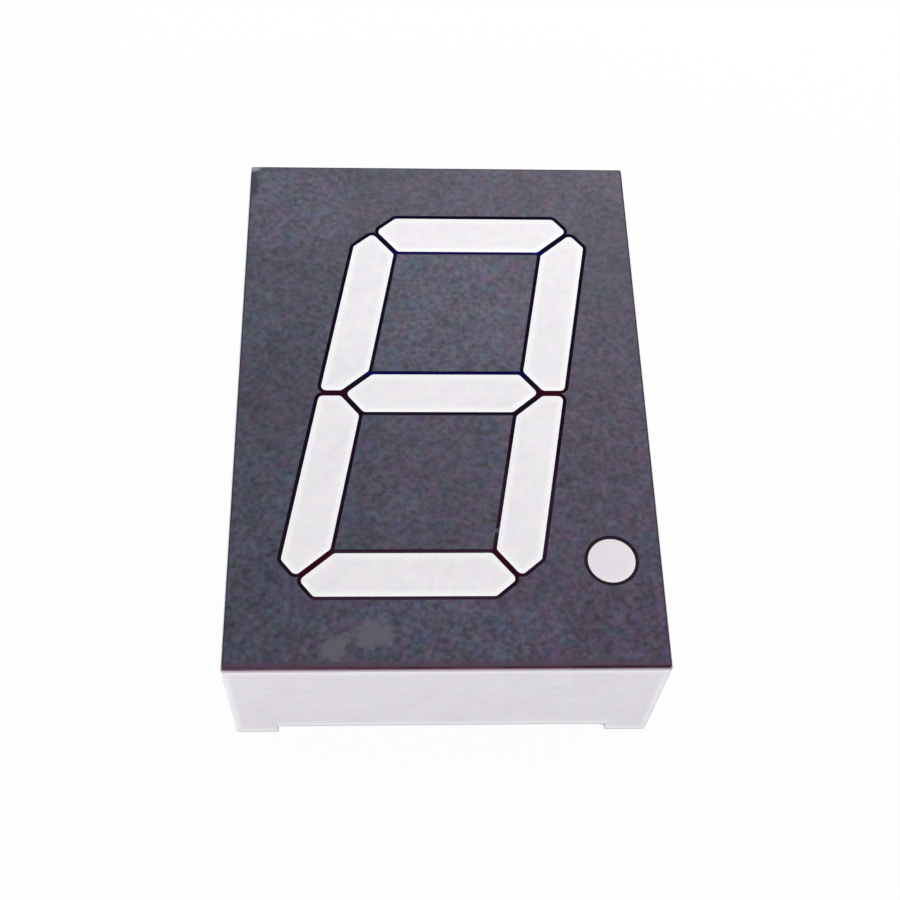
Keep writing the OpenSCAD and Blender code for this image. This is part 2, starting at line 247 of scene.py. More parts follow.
def cast_light(name, outline_at):
    """Lofts a cast light through outline_at(inset) at each ring's height."""
    insets, heights, rim_highlight = cast_rings()
    rings = [outline_at(d) for d in insets]
    columns = len(rings[0])
    points = np.concatenate([np.column_stack([r, np.full(columns, z)]) for r, z in zip(rings, heights)])
    return make_piece(name, points, ring_faces(len(rings), columns), np.repeat(rim_highlight, columns))


print("rings of a cast light:", len(cast_rings()[0]))

# %% Loft the seven bars and the point
TINY_RADIUS = 0.02 * MM
CIRCLE_POINTS = 96


def circle(count):
    """Points on a unit circle: (cos, sin) at equal steps."""
    angle = np.linspace(0, 2 * np.pi, count, endpoint=False)
    return np.stack([np.cos(angle), np.sin(angle)], -1)


lights = []
for letter in "abcdefg":
    window, window_radius = sharp_corners(top_outline("bar_" + letter))
    light = cast_light(
        "light_" + letter,
        lambda d: rounded(inset(window, d), max(window_radius - d, TINY_RADIUS)),
    )
    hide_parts("bar_" + letter)
    lights.append(light)

point_low, point_high = corners("decimal_point")
point_middle = ((point_low + point_high) / 2)[:2]
point_radius = (point_high[0] - point_low[0]) / 2
light = cast_light("light_point", lambda d: point_middle + (point_radius - d) * circle(CIRCLE_POINTS))
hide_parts("decimal_point")
lights.append(light)
print("cast lights:", len(lights), "- point radius %.2f mm" % (point_radius / MM))

# %% [markdown]
# ## The moulded case
# The case keeps the CAD form, wells and feet included. A mould never leaves a knife edge, so
# the edges that can be seen are softened: around the foot rim, where the feet leave it, and
# around the front. The copy's loose triangles are merged into whole faces first, because a
# bevel needs them, and only the marked edges get one, which leaves the wells as they are.

# %% Copy the case and mark its outer edges
SAME_PLACE = 0.2 * MICRON
SAME_PLANE = math.radians(0.5)
SHARP_EDGE = math.radians(28)
WALL_BAND = 1.3 * MM
RIM_BAND = 1.25 * MM
FRONT_BAND = 0.25 * MM


def merged_copy(node, name):
    """A copy of a CAD node whose triangles are merged by place and joined across flat areas."""
    shape = bmesh.new()
    shape.from_mesh(CAD[node].data)
    bmesh.ops.remove_doubles(shape, verts=shape.verts, dist=SAME_PLACE)
    bmesh.ops.dissolve_limit(shape, angle_limit=SAME_PLANE, verts=shape.verts, edges=shape.edges)
    mesh = bpy.data.meshes.new(name)
    shape.to_mesh(mesh)
    shape.free()
    mesh.materials.clear()
    return mesh


def mark_outer_edges(mesh):
    """Marks the sharp edges by the outer walls, at the rim underneath and at the front, and counts them."""
    shape = bmesh.new()
    shape.from_mesh(mesh)
    weight = shape.edges.layers.float.new("bevel_weight_edge")
    marked = 0
    for edge in shape.edges:
        middle = (edge.verts[0].co + edge.verts[1].co) / 2
        by_wall = abs(middle.x) > case_high[0] - WALL_BAND or abs(middle.y) > case_high[1] - WALL_BAND
        visible = middle.z < case_low[2] + RIM_BAND or middle.z > z_front - FRONT_BAND
        if by_wall and visible and len(edge.link_faces) == 2 and edge.calc_face_angle() > SHARP_EDGE:
            edge[weight] = 1.0
            marked += 1
    shape.to_mesh(mesh)
    shape.free()
    return marked


case_mesh = merged_copy("housing", "case")
marked = mark_outer_edges(case_mesh)
print("case faces:", len(case_mesh.polygons), "- edges to soften:", marked)

# %% [markdown]
# ## Softer edges on the case
# A Bevel modifier rounds exactly the edges whose weight was set and no others. It is kept
# live, so its width can still be changed, and hardened normals keep the broad walls flat.

# %% Soften the marked edges
SOFT_EDGE = 0.04 * MM

case = bpy.data.objects.new("case", case_mesh)
bpy.context.scene.collection.objects.link(case)
case_mesh.shade_smooth()
case_mesh.set_sharp_from_angle(angle=SHARP_EDGE)
soften = case.modifiers.new("soft edges", "BEVEL")
soften.width = SOFT_EDGE
soften.segments = 3
soften.limit_method = "WEIGHT"
soften.use_clamp_overlap = True
soften.harden_normals = True
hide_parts("housing")
print("soft edges %.2f mm wide" % (soften.width / MM))

# %% [markdown]
# ## The pins
# A pin is drawn wire, cut and dipped in tin: straight, round, with a blunt rounded tip, and a
# thicker shank where the board and the epoxy hold it. A cylinder with bevelled ends would be
# quicker, but a profile of radius against height, turned about the pin's own axis, gives tip,
# cone, shank and head in one array.

# %% The profile of a pin
TIP_HEIGHT = 0.3 * MM
HEAD_HEIGHT = 0.12 * MM
TIP_RINGS, HEAD_RINGS = 10, 8
END_FLAT = 0.08
CONE_ROUND = 0.1
CONE_LEAD = 0.02 * MM


def pin_profile(low, high, radius, shank_radius, shank_from):
    """Radius and height from tip to head: quarter ellipses at both ends, a cone up to the shank."""
    turn = np.linspace(END_FLAT, np.pi / 2, TIP_RINGS)
    tip = np.stack([radius * np.sin(turn), low + TIP_HEIGHT * (1 - np.cos(turn))], -1)
    step = shank_radius - radius
    cone = np.array([
        [radius, shank_from - step - CONE_LEAD],
        [radius + CONE_ROUND * step, shank_from - step],
        [shank_radius - CONE_ROUND * step, shank_from],
        [shank_radius, shank_from + CONE_LEAD],
    ])
    back = np.linspace(np.pi / 2, END_FLAT, HEAD_RINGS)
    head = np.stack([shank_radius * np.sin(back), high - HEAD_HEIGHT * (1 - np.cos(back))], -1)
    return np.concatenate([tip, cone, head])


print("tip %.2f mm and head %.2f mm high" % (TIP_HEIGHT / MM, HEAD_HEIGHT / MM))

# %% Turn the ten pins
PIN_COUNT = 10
PIN_RADIUS = 0.25 * MM
PIN_POINTS = 32
SHANK_FROM = epoxy_low[2] - 0.1 * MM

pins = []
pin_spots = []
for number in range(1, PIN_COUNT + 1):
    low, high = corners("pin_%d" % number)
    spot = ((low + high) / 2)[:2]
    profile = pin_profile(low[2], high[2], PIN_RADIUS, (high[0] - low[0]) / 2, SHANK_FROM)
    rings = spot + profile[:, 0, None, None] * circle(PIN_POINTS)[None]
    heights = np.broadcast_to(profile[:, 1, None, None], rings.shape[:2] + (1,))
    points = np.concatenate([rings, heights], -1).reshape(-1, 3)
    pin = make_piece("lead_%d" % number, points, ring_faces(len(profile), PIN_POINTS))
    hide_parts("pin_%d" % number)
    pins.append(pin)
    pin_spots.append(spot)
pin_spots = np.array(pin_spots)
print("pins:", len(pins), "- rows %.2f mm apart" % (np.ptp(pin_spots[:, 1]) / MM))

# %% [markdown]
# ## A grid for the epoxy at the back
# The back is filled from a nozzle and left to level, so its surface is a shallow pool that
# creeps up the walls and up each pin. Subdividing a flat plate evenly would need hundreds of
# thousands of faces to show that, so the grid's lines are close together at the walls and
# around the pins, where the height changes fast, and far apart in between.

# %% Lines of the grid and its round corners
EDGE_LINES = np.array([0, 0.04, 0.1, 0.18, 0.3, 0.45, 0.65]) * MM
COARSE_MARGIN = 0.8 * MM
FINE_MARGIN = 0.68 * MM
LINE_DIGITS = 7
POOL_CORNER = 0.4 * MM
NO_LENGTH = 1e-12


def grid_lines(half, dense_from, dense_to, fine, coarse):
    """Lines from -half to half: crowded at the ends and over |dense_from..dense_to|, sparse elsewhere."""
    body = np.arange(0, half - COARSE_MARGIN, coarse)
    dense = np.arange(dense_from, dense_to, fine)
    body = body[(body < dense_from - fine / 2) | (body > dense_to)]
    positive = np.concatenate([body, dense[dense < half - FINE_MARGIN], half - EDGE_LINES])
    positive = np.unique(np.round(positive, LINE_DIGITS))
    return np.unique(np.round(np.concatenate([-positive, positive]), LINE_DIGITS))


def round_corners(x, y, half_x, half_y, radius):
    """Pulls a square corner onto a quarter disc: scales (u, v) by max(u, v) / hypot(u, v)."""
    u = np.maximum(np.abs(x) - (half_x - radius), 0)
    v = np.maximum(np.abs(y) - (half_y - radius), 0)
    length = np.maximum(np.hypot(u, v), NO_LENGTH)
    scale = np.where((u > 0) & (v > 0), np.maximum(u, v) / length, 1.0)
    return x - np.sign(x) * u * (1 - scale), y - np.sign(y) * v * (1 - scale)


half_x, half_y = epoxy_high[0], epoxy_high[1]
lines_x = grid_lines(half_x, dense_from=0, dense_to=6.0 * MM, fine=0.11 * MM, coarse=0.8 * MM)
lines_y = grid_lines(half_y, dense_from=16.9 * MM, dense_to=18.7 * MM, fine=0.1 * MM, coarse=1.0 * MM)
grid_x, grid_y = np.meshgrid(lines_x, lines_y)
rows, columns = grid_x.shape
print("back epoxy grid:", rows, "by", columns)

# %% [markdown]
# ## The pool and its sides
# The surface is a height over the grid: a flat level, plus exp(-distance / reach) for the
# wall and for the nearest pin, plus a slow wave, because a pour never levels fully. The pool
# hangs from the board, so the height runs downwards. Its border is then carried straight up
# to a flat lid, which closes the piece.

# %% Pour the back epoxy
WALL_CLIMB = 0.22 * MM
WALL_REACH = 0.3 * MM
PIN_CLIMB = 0.3 * MM
PIN_REACH = 0.14 * MM
PIN_SKIN = 0.35 * MM
SAG = 0.03 * MM
SAG_LENGTH_X = 5.1 * MM
SAG_LENGTH_Y = 6.7 * MM

pool_level = epoxy_low[2] + PIN_CLIMB
wall_distance = np.minimum(half_x - np.abs(grid_x), half_y - np.abs(grid_y))
to_pins = np.hypot(grid_x[..., None] - pin_spots[:, 0], grid_y[..., None] - pin_spots[:, 1]).min(-1)
climb = WALL_CLIMB * np.exp(-wall_distance / WALL_REACH)
climb += PIN_CLIMB * np.exp(-np.maximum(to_pins - PIN_SKIN, 0) / PIN_REACH)
sag = SAG * np.sin(grid_x / SAG_LENGTH_X) * np.cos(grid_y / SAG_LENGTH_Y)
pool = np.maximum(pool_level - climb + sag, epoxy_low[2])
plan_x, plan_y = round_corners(grid_x, grid_y, half_x, half_y, POOL_CORNER)
surface = np.stack([plan_x, plan_y, pool], -1).reshape(-1, 3)

index = np.arange(rows * columns).reshape(rows, columns)
quads = np.stack([index[:-1, :-1], index[1:, :-1], index[1:, 1:], index[:-1, 1:]], -1).reshape(-1, 4)
border = np.concatenate([index[0, :-1], index[:-1, -1], index[-1, :0:-1], index[:0:-1, 0]])
lid = surface[border]
lid[:, 2] = epoxy_high[2]
lid_index = rows * columns + np.arange(len(border))
sides = np.stack([border, np.roll(border, -1), np.roll(lid_index, -1), lid_index], -1)
faces = quads.tolist() + sides.tolist() + [lid_index.tolist()]
back = make_piece("back_fill", np.concatenate([surface, lid]), faces)
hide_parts("back_epoxy")
print("back epoxy faces:", len(faces))

# %% [markdown]
# ## Tools for finishes
# Every finish is built from nodes. A node added by hand takes several lines each time, so
# short helpers keep the recipes readable: each adds one kind of node, fills its sockets and
# hands back what it puts out. Colours are written as they look on a screen and turned into
# the linear values that a shader needs.

# %% Helpers for single nodes
def paint(red, green, blue):
    """A screen colour, 0 to 255, as linear light: ((c + 0.055) / 1.055) ** 2.4, or c / 12.92 if dark."""
    c = np.array([red, green, blue]) / 255
    linear = np.where(c <= 0.04045, c / 12.92, ((c + 0.055) / 1.055) ** 2.4)
    return (*linear.tolist(), 1.0)


def fill(tree, node, inputs):
    """Links or sets each named input of a node."""
    for name, value in inputs.items():
        if isinstance(value, bpy.types.NodeSocket):
            tree.links.new(value, node.inputs[name])
        else:
            node.inputs[name].default_value = value


def add(tree, kind, inputs=None, **settings):
    """Adds a shader node, sets its options and fills its inputs."""
    node = tree.nodes.new("ShaderNode" + kind)
    for name, value in settings.items():
        setattr(node, name, value)
    fill(tree, node, inputs or {})
    return node


print("white paint as linear light:", paint(255, 255, 255))

# %% Helpers for one step of a recipe
def calc(tree, operation, a, b=0.0):
    """One step of arithmetic on two values."""
    return add(tree, "Math", {0: a, 1: b}, operation=operation).outputs[0]


def calc_vector(tree, operation, a, b=(0, 0, 0)):
    """One step of arithmetic on two vectors."""
    return add(tree, "VectorMath", {0: a, 1: b}, operation=operation).outputs["Vector"]


def times(tree, vector, factor):
    """A vector made longer or shorter by a factor."""
    return add(tree, "VectorMath", {0: vector, "Scale": factor}, operation="SCALE").outputs["Vector"]


def split(tree, vector):
    """The X, Y and Z of a vector."""
    return add(tree, "SeparateXYZ", {0: vector}).outputs


def noise(tree, place, scale, detail):
    """Soft noise over a place, with its value and its colour."""
    return add(tree, "TexNoise", {"Vector": place, "Scale": scale, "Detail": detail}).outputs


def blend(tree, factor, a, b):
    """Mixes two colours by a factor."""
    return add(tree, "Mix", {0: factor, 6: a, 7: b}, data_type="RGBA").outputs[2]


def cover(tree, mask, colour, strength, over):
    """Lays a colour over another one where a mask says so, at a strength."""
    return blend(tree, calc(tree, "MULTIPLY", mask, strength), over, colour)


def remap(tree, value, low, high, to_low=0.0, to_high=1.0):
    """Stretches the span low..high of a value onto to_low..to_high."""
    names = {"Value": value, "From Min": low, "From Max": high, "To Min": to_low, "To Max": to_high}
    return add(tree, "MapRange", names).outputs[0]


print("steps:", [step.__name__ for step in (calc, calc_vector, times, split, noise, blend, cover, remap)])

# %% [markdown]
# ## Tools for groups and whole materials
# A node group is opened with named inputs and outputs and placed in a material like a single
# node. Each material has one Principled shader: what is the same all over goes straight on
# its sockets, and only colour, roughness and bump come from nodes.

# %% Helpers for groups and materials
NOISE_LOW, NOISE_HIGH = 0.3, 0.7


def open_group(name, inputs, outputs):
    """A new node group with its named sockets, and the two ends to wire it to."""
    tree = bpy.data.node_groups.new(name, "ShaderNodeTree")
    for label, kind in inputs.items():
        tree.interface.new_socket(label, in_out="INPUT", socket_type="NodeSocket" + kind)
    for label, kind in outputs.items():
        tree.interface.new_socket(label, in_out="OUTPUT", socket_type="NodeSocket" + kind)
    return tree, tree.nodes.new("NodeGroupInput").outputs, tree.nodes.new("NodeGroupOutput").inputs


def use_group(tree, group, inputs):
    """Places a node group in a material with its own values."""
    node = tree.nodes.new("ShaderNodeGroup")
    node.node_tree = group
    fill(tree, node, inputs)
    return node.outputs


def new_material(name, **constants):
    """A material with one Principled shader. Values that don't change over the surface go on its sockets."""
    material = bpy.data.materials.new(name)
    material.use_nodes = True
    tree = material.node_tree
    shader = tree.nodes["Principled BSDF"]
    for label, value in constants.items():
        shader.inputs[label.replace("_", " ")].default_value = value
    place = add(tree, "TexCoord").outputs["Object"]
    return material, tree, shader, place


def rough(tree, mask, smoothest, roughest):
    """A roughness that follows noise, which lies mostly between NOISE_LOW and NOISE_HIGH."""
    return remap(tree, mask, NOISE_LOW, NOISE_HIGH, smoothest, roughest)


def feed(tree, shader, colour, roughness, height=None, depth=0.0):
    """Wires colour, roughness and a bump of the given depth in metres into a shader."""
    tree.links.new(colour, shader.inputs["Base Color"])
    tree.links.new(roughness, shader.inputs["Roughness"])
    if height is not None:
        bump = add(tree, "Bump", {"Height": height, "Strength": 1.0, "Distance": depth})
        tree.links.new(bump.outputs["Normal"], shader.inputs["Normal"])


print("noise is read from %.1f to %.1f" % (NOISE_LOW, NOISE_HIGH))

# %% [markdown]
# ## Shared effect: mottle
# Ink, resin and old plastic are never one even colour. Mottle varies a colour's brightness in
# large clouds and small specks, and its hue a little, most in red. It turns up in every
# finish, so it is a group, built once and placed with other values each time. A painted
# texture would need unwrapping, while noise on the place in space needs none.

# %% Build the mottle group
HUE_SPREAD = (1.15, 0.85, 0.4)
HUE_SCALE = 900.0

mottle, source, result = open_group(
    "mottle",
    {"Colour": "Color", "Place": "Vector", "Cloud Scale": "Float", "Speck Scale": "Float",
     "Hue Scale": "Float", "Cloud Strength": "Float", "Speck Strength": "Float", "Hue Strength": "Float"},
    {"Colour": "Color", "Cloud": "Float"},
)
cloud = noise(mottle, source["Place"], source["Cloud Scale"], 3.0)["Fac"]
speck = noise(mottle, source["Place"], source["Speck Scale"], 4.0)["Fac"]
tint = noise(mottle, source["Place"], source["Hue Scale"], 2.0)["Color"]
shade = calc(mottle, "MULTIPLY", calc(mottle, "SUBTRACT", cloud, 0.5), source["Cloud Strength"])
fleck = calc(mottle, "MULTIPLY", calc(mottle, "SUBTRACT", speck, 0.5), source["Speck Strength"])
level = calc(mottle, "ADD", calc(mottle, "ADD", shade, fleck), 1.0)
hue = calc_vector(mottle, "SUBTRACT", tint, (0.5, 0.5, 0.5))
hue = calc_vector(mottle, "MULTIPLY", times(mottle, hue, source["Hue Strength"]), HUE_SPREAD)
hue = calc_vector(mottle, "ADD", hue, (1, 1, 1))
tinted = times(mottle, calc_vector(mottle, "MULTIPLY", source["Colour"], hue), level)
mottle.links.new(tinted, result["Colour"])
mottle.links.new(cloud, result["Cloud"])


def mottled(tree, place, colour, cloud, speck, hue_strength, hue_scale=HUE_SCALE):
    """A colour through the mottle group. Cloud and speck are each a scale and a strength."""
    return use_group(tree, mottle, {
        "Colour": colour, "Place": place, "Cloud Scale": cloud[0], "Cloud Strength": cloud[1],
        "Speck Scale": speck[0], "Speck Strength": speck[1],
        "Hue Scale": hue_scale, "Hue Strength": hue_strength,
    })


print("mottle group:", len(mottle.nodes), "nodes")

# %% [markdown]
# ## Shared effect: grain
# Grain is the fine roughness that a sparked mould or a dry print leaves: noise, plus the
# round cells of a Voronoi texture as pits. It is far too fine to model, so it is a height
# that a Bump node turns into shading.

# %% Build the grain group
CELL_SHARE = 0.6

grain, source, result = open_group(
    "grain",
    {"Place": "Vector", "Scale": "Float", "Pits": "Float"},
    {"Height": "Float", "Mask": "Float"},
)
dust = noise(grain, source["Place"], source["Scale"], 4.0)["Fac"]
cell_scale = calc(grain, "MULTIPLY", source["Scale"], CELL_SHARE)
cells = add(grain, "TexVoronoi", {"Vector": source["Place"], "Scale": cell_scale}).outputs["Distance"]
pits = calc(grain, "MULTIPLY", cells, source["Pits"])
grain.links.new(calc(grain, "ADD", dust, pits), result["Height"])
grain.links.new(dust, result["Mask"])
print("grain group:", len(grain.nodes), "nodes")

# %% [markdown]
# ## Shared effect: scuff
# A rub, a chip or a spot of thinner ink is an oval mark with a ragged edge. The place is
# moved to the mark's centre, turned and divided by its half sizes, so the distance to the
# centre is 1 on the oval, and noise frays that distance. Each mark can then be set by a few
# numbers, which drawing into an image couldn't offer.

# %% Build the scuff group
FRAY_SCALE = 2500.0
SCUFF_OUTER, SCUFF_INNER = 1.1, 0.75

scuff, source, result = open_group(
    "scuff",
    {"Place": "Vector", "Centre": "Vector", "Half Size": "Vector", "Turn": "Float", "Ragged": "Float"},
    {"Mask": "Float"},
)
offset = calc_vector(scuff, "SUBTRACT", source["Place"], source["Centre"])
turned = add(scuff, "VectorRotate", {"Vector": offset, "Angle": source["Turn"]}, rotation_type="Z_AXIS")
offset = calc_vector(scuff, "DIVIDE", turned.outputs["Vector"], source["Half Size"])
reach = add(scuff, "VectorMath", {0: offset}, operation="LENGTH").outputs["Value"]
fray = noise(scuff, source["Place"], FRAY_SCALE, 3.0)["Fac"]
fray = calc(scuff, "MULTIPLY", calc(scuff, "SUBTRACT", fray, 0.5), source["Ragged"])
frayed = calc(scuff, "ADD", reach, fray)
scuff.links.new(remap(scuff, frayed, SCUFF_OUTER, SCUFF_INNER), result["Mask"])
print("scuff group:", len(scuff.nodes), "nodes")

# %% [markdown]
# ## Shared effect: edge
# Wear, and the painted highlights and shade of the case, all sit at the edges of a part. The
# group measures how far a place lies inside the case's outline and fades in towards all four
# edges, towards the foot edge alone, or towards the four upright corners. Half the case's size
# is an input, so the bands follow it.

# %% Build the edge group
FACE_HALF = (case_high[0], case_high[1], 1.0)

edge, source, result = open_group(
    "edge",
    {"Place": "Vector", "Half Size": "Vector", "Begin": "Float", "Full": "Float"},
    {"Rim": "Float", "Foot": "Float", "Corner": "Float"},
)
inside = calc_vector(edge, "ABSOLUTE", source["Place"])
inside = split(edge, calc_vector(edge, "SUBTRACT", source["Half Size"], inside))
from_foot = split(edge, calc_vector(edge, "ADD", source["Place"], source["Half Size"]))["Y"]
distances = {
    "Rim": calc(edge, "MINIMUM", inside["X"], inside["Y"]),
    "Foot": from_foot,
    "Corner": calc(edge, "MAXIMUM", inside["X"], inside["Y"]),
}
for name, distance in distances.items():
    edge.links.new(remap(edge, distance, source["Begin"], source["Full"]), result[name])


def near_edge(tree, place, begin, full):
    """The edge group on the case's outline: 0 at begin, in metres from the edge, and 1 at full."""
    return use_group(tree, edge, {"Place": place, "Half Size": FACE_HALF, "Begin": begin, "Full": full})


print("groups:", [g.name for g in bpy.data.node_groups])

# %% [markdown]
# ## Case plastic
# The reflector case is moulded in bright white, heavily pigmented plastic, so that no light
# leaks between the wells. It is satin, a touch violet under this light, with the fine grain
# of a sparked mould. A band along its lower edge, feet included, one under the face and one
# down each upright corner are painted a little brighter: painted highlights where these
# edges catch the light. The bevel at the foot of the face is coloured darker and reddish,
# fading out down its slope. A thin line of painted shade runs along the lower edge and down
# the right corners, which face away from the light. Each band is a distance turned into a
# mask, so it stays in place on any size of case, and the masks are laid in turn.

# %% Height over the lower edge
FOOT_WIDTH = 2.9 * MM
FOOT_HEIGHT = 1.1 * MM


def above_lower_edge(tree, place):
    """Height over the case's lower edge, which drops by the feet's height where a foot stands."""
    size = split(tree, calc_vector(tree, "ABSOLUTE", place))
    in_x = calc(tree, "GREATER_THAN", size["X"], case_high[0] - FOOT_WIDTH)
    in_y = calc(tree, "GREATER_THAN", size["Y"], case_high[1] - FOOT_WIDTH)
    drop = calc(tree, "MULTIPLY", calc(tree, "MULTIPLY", in_x, in_y), FOOT_HEIGHT)
    over_rim = calc(tree, "SUBTRACT", split(tree, place)["Z"], case_low[2] + FOOT_HEIGHT)
    return calc(tree, "ADD", over_rim, drop)


print("feet from %.2f mm, lower edge %.2f mm above" % (case_low[2] / MM, FOOT_HEIGHT / MM))

# %% Case plastic
CASE_WHITE = paint(225, 220, 227)
# Painted highlight colour for the bright bands along the case's edges.
CASE_EDGE_HIGHLIGHT = paint(247, 244, 248)
BEVEL_TONE = paint(166, 146, 156)
# Painted shade colour for the thin dark line along the lower edge and the right corners.
EDGE_SHADE = paint(192, 186, 196)

case_plastic, tree, shader, place = new_material("case_plastic", IOR=1.5)
axes = split(tree, place)
over_edge = above_lower_edge(tree, place)
white_plastic = mottled(tree, place, CASE_WHITE, cloud=(350, 0.12), speck=(1500, 0.16), hue_strength=0.08)

# Painted highlights: the lower edge, a band under the face and the upright corners are blended towards a
# brighter white.
low_edge_highlight = remap(tree, over_edge, 1.0 * MM, 0.5 * MM)
face_edge_highlight = remap(tree, axes["Z"], z_front - 0.8 * MM, z_front - 0.3 * MM)
corner_highlight = near_edge(tree, place, begin=0.6 * MM, full=0.35 * MM)["Corner"]
wear_and_highlight = calc(tree, "MAXIMUM", calc(tree, "MAXIMUM", low_edge_highlight, face_edge_highlight), corner_highlight)
colour = cover(tree, wear_and_highlight, CASE_EDGE_HIGHLIGHT, strength=0.55, over=white_plastic["Colour"])

# The bevel at the foot of the face is coloured darker and reddish, fading down its slope.
on_bevel = remap(tree, axes["Z"], z_front - 0.2 * MM, z_front)
at_foot = near_edge(tree, place, begin=0.3 * MM, full=0.2 * MM)["Foot"]
colour = blend(tree, calc(tree, "MULTIPLY", on_bevel, at_foot), colour, BEVEL_TONE)

# Painted shade: a thin darker line along the lower edge and down the right corners.
at_right = remap(tree, axes["X"], 0.0, 1.0 * MM)
corner_shade = near_edge(tree, place, begin=0.14 * MM, full=0.06 * MM)["Corner"]
low_edge_shade = remap(tree, over_edge, 0.26 * MM, 0.14 * MM)
painted_edge_shade = calc(tree, "MAXIMUM", calc(tree, "MULTIPLY", corner_shade, at_right), low_edge_shade)
colour = cover(tree, painted_edge_shade, EDGE_SHADE, strength=0.8, over=colour)

sparked = use_group(tree, grain, {"Place": place, "Scale": 14000.0, "Pits": 0.35})
feed(tree, shader, colour, rough(tree, sparked["Mask"], 0.42, 0.54), sparked["Height"], depth=0.004 * MM)
print("case plastic:", len(tree.nodes), "nodes")

# %% [markdown]
# ## Light epoxy
# The bars are cast in epoxy filled with a white diffuser, so they look like matt porcelain
# with a soft gloss. Along the rim the colour is painted brighter, a painted highlight where
# the dished rim catches the light. A second material on the rim's faces would show a hard
# step, so the rim weight, stored on the mesh while it was lofted, carries the change smoothly
# over the surface. The decimal point is painted a touch greyer: painted shade, as the light
# falls off towards the lower right.

# %% Light epoxy
RESIN_WHITE = paint(244, 240, 243)
# Painted highlight colour for the dished rim.
RESIN_RIM_HIGHLIGHT = paint(254, 254, 254)
# Painted shade colour for the decimal point.
POINT_SHADE = paint(236, 231, 235)
POINT_SPOT = (*point_middle.tolist(), z_mask)
POINT_HALF = (2 * MM, 2 * MM, 1)

light_epoxy, tree, shader, place = new_material("light_epoxy", IOR=1.5)
resin = mottled(tree, place, RESIN_WHITE, cloud=(300, 0.08), speck=(1800, 0.15), hue_strength=0.1)
rim_highlight = add(tree, "Attribute", attribute_name="rim_highlight", attribute_type="GEOMETRY").outputs["Fac"]
# Painted highlight: the rim is blended towards white.
colour = blend(tree, rim_highlight, resin["Colour"], RESIN_RIM_HIGHLIGHT)
# Painted shade: the decimal point is blended a touch greyer.
spot = {"Place": place, "Centre": POINT_SPOT, "Half Size": POINT_HALF, "Turn": 0.0, "Ragged": 0.0}
colour = cover(tree, use_group(tree, scuff, spot)["Mask"], POINT_SHADE, strength=0.8, over=colour)
waves = use_group(tree, grain, {"Place": place, "Scale": 1800.0, "Pits": 0.1})
feed(tree, shader, colour, rough(tree, resin["Cloud"], 0.5, 0.62), waves["Height"], depth=0.003 * MM)
print("light epoxy:", len(tree.nodes), "nodes")

# %% [markdown]
# ## Marks on the printed face
# The face is screen printed, and a print collects marks: fields where the ink lies thicker or
# thinner, rubbed spots near the foot, a bare corner and a chipped line. Each is one scuff
# with its own colour, written as a row: the spot, by its distance from the top left corner,
# and the half sizes in millimetres, the turn in radians, the raggedness, the strength and the
# colour. A list of rows is easy to add to, and one function lays them over any colour.

# %% Marks of ink and wear
LIGHT_INK = paint(68, 66, 88)
DARK_INK = paint(52, 49, 68)
NAVY_INK = paint(14, 18, 48)
GREEN_INK = paint(60, 78, 70)
RUBBED = paint(88, 87, 97)
DARK_SPECK = paint(46, 43, 52)
BARE = paint(140, 139, 152)
face_left, face_top = -case_high[0], case_high[1]

BARE_CORNER = ((0.05, 0.05), (0.85, 0.6), 0.0, 0.8, 1.0, BARE)
CHIP = [
    ((17.58, 30.8), (0.24, 0.17), 0.0, 1.0, 0.9, RUBBED),
    ((17.5, 31.02), (0.16, 0.13), 0.0, 0.6, 1.0, DARK_SPECK),
]
WEAR = [
    ((7.1, 38.9), (1.05, 0.88), 0.35, 1.3, 0.9, RUBBED),
    ((9.45, 38.1), (1.25, 0.92), 0.25, 1.3, 0.9, RUBBED),
    ((8.0, 38.95), (0.42, 0.34), 0.5, 1.6, 0.7, DARK_SPECK),
    ((7.6, 37.8), (0.75, 0.1), 0.3, 2.4, 0.6, DARK_SPECK),
    BARE_CORNER,
]
UNEVEN = [
    ((14.1, 12.7), (6.6, 7.6), 0.0, 0.3, 1.0, LIGHT_INK),
    ((3.6, 4.2), (4.2, 4.4), 0.3, 0.9, 0.8, LIGHT_INK),
    ((14.0, 37.8), (7.5, 2.2), 0.0, 0.9, 0.7, LIGHT_INK),
    ((2.8, 20.5), (2.6, 5.2), 0.0, 0.9, 0.9, DARK_INK),
    ((2.6, 0.15), (1.9, 0.35), 0.0, 0.8, 0.8, DARK_INK),
    ((0.32, 1.7), (0.42, 1.4), 0.0, 0.9, 1.0, NAVY_INK),
    ((1.0, 0.95), (0.55, 0.7), 0.0, 1.6, 0.35, GREEN_INK),
    ((26.0, 8.5), (2.2, 6.5), 0.0, 0.9, 0.6, DARK_INK),
]


def add_marks(tree, place, colour, marks):
    """Lays a scuff over a colour for each mark, with the place turned back by the mark's own turn."""
    for (right, down), half, turn, ragged, strength, mark_colour in marks:
        mask = use_group(tree, scuff, {
            "Place": place, "Centre": (face_left + right * MM, face_top - down * MM, z_face),
            "Half Size": (half[0] * MM, half[1] * MM, 1.0), "Turn": -turn, "Ragged": ragged,
        })["Mask"]
        colour = cover(tree, mask, mark_colour, strength, over=colour)
    return colour


print("marks of wear:", len(WEAR + CHIP), "- uneven fields:", len(UNEVEN))

# %% [markdown]
# ## Face ink
# The grey ink gives contrast when the segments are off. It is matt and uneven, bluer on the
# left and redder on the right, with flecks of blue, green and violet everywhere, so its
# mottle is far stronger than that of the plastics. It turns reddish along the foot edge,
# and the black below has bled into it along the top of each inner field.

# %% Face ink
INK_LEFT = paint(57, 57, 77)
INK_RIGHT = paint(65, 55, 79)
FOOT_TINGE = paint(70, 42, 66)
BLED = [
    ((16.2, 8.26), (8.0, 0.08), 0.0, 0.0, 0.9, paint(12, 10, 52)),
    ((13.8, 21.98), (8.0, 0.08), 0.0, 0.0, 0.9, paint(28, 12, 32)),
]

